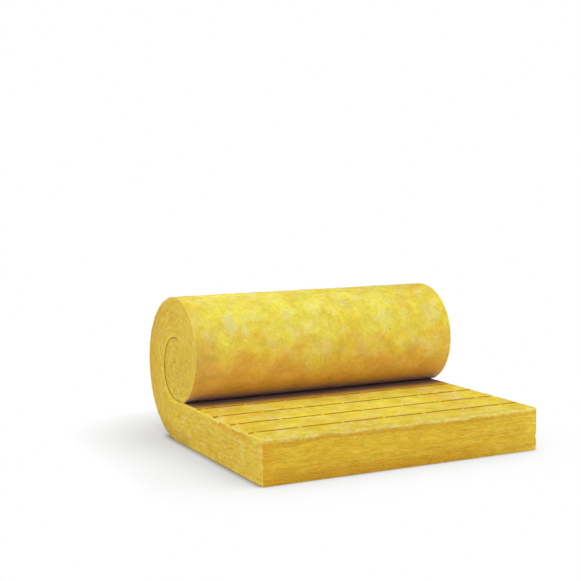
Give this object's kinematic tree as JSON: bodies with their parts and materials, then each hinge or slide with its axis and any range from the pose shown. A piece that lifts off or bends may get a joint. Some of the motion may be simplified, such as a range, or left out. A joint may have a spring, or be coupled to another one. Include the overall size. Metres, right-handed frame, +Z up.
{
  "type": "insulation roll",
  "caption": "Glass wool insulation mat, partly unrolled: a flat stretch bends up and winds back over itself into a roll, with the spiral seam showing on its ends.",
  "frame": {"origin": "on the floor, under the middle of the whole part", "axes": "+X along the roll's axis, +Y from the cut front edge towards the roll, +Z up"},
  "size_m": [1.2, 1.11, 0.59],
  "materials": {
    "glass_wool": "matte fibrous wool with printed cutting lines"
  },
  "bodies": {
    "root": {"wool_mat": "glass_wool"}
  },
  "joints": []
}
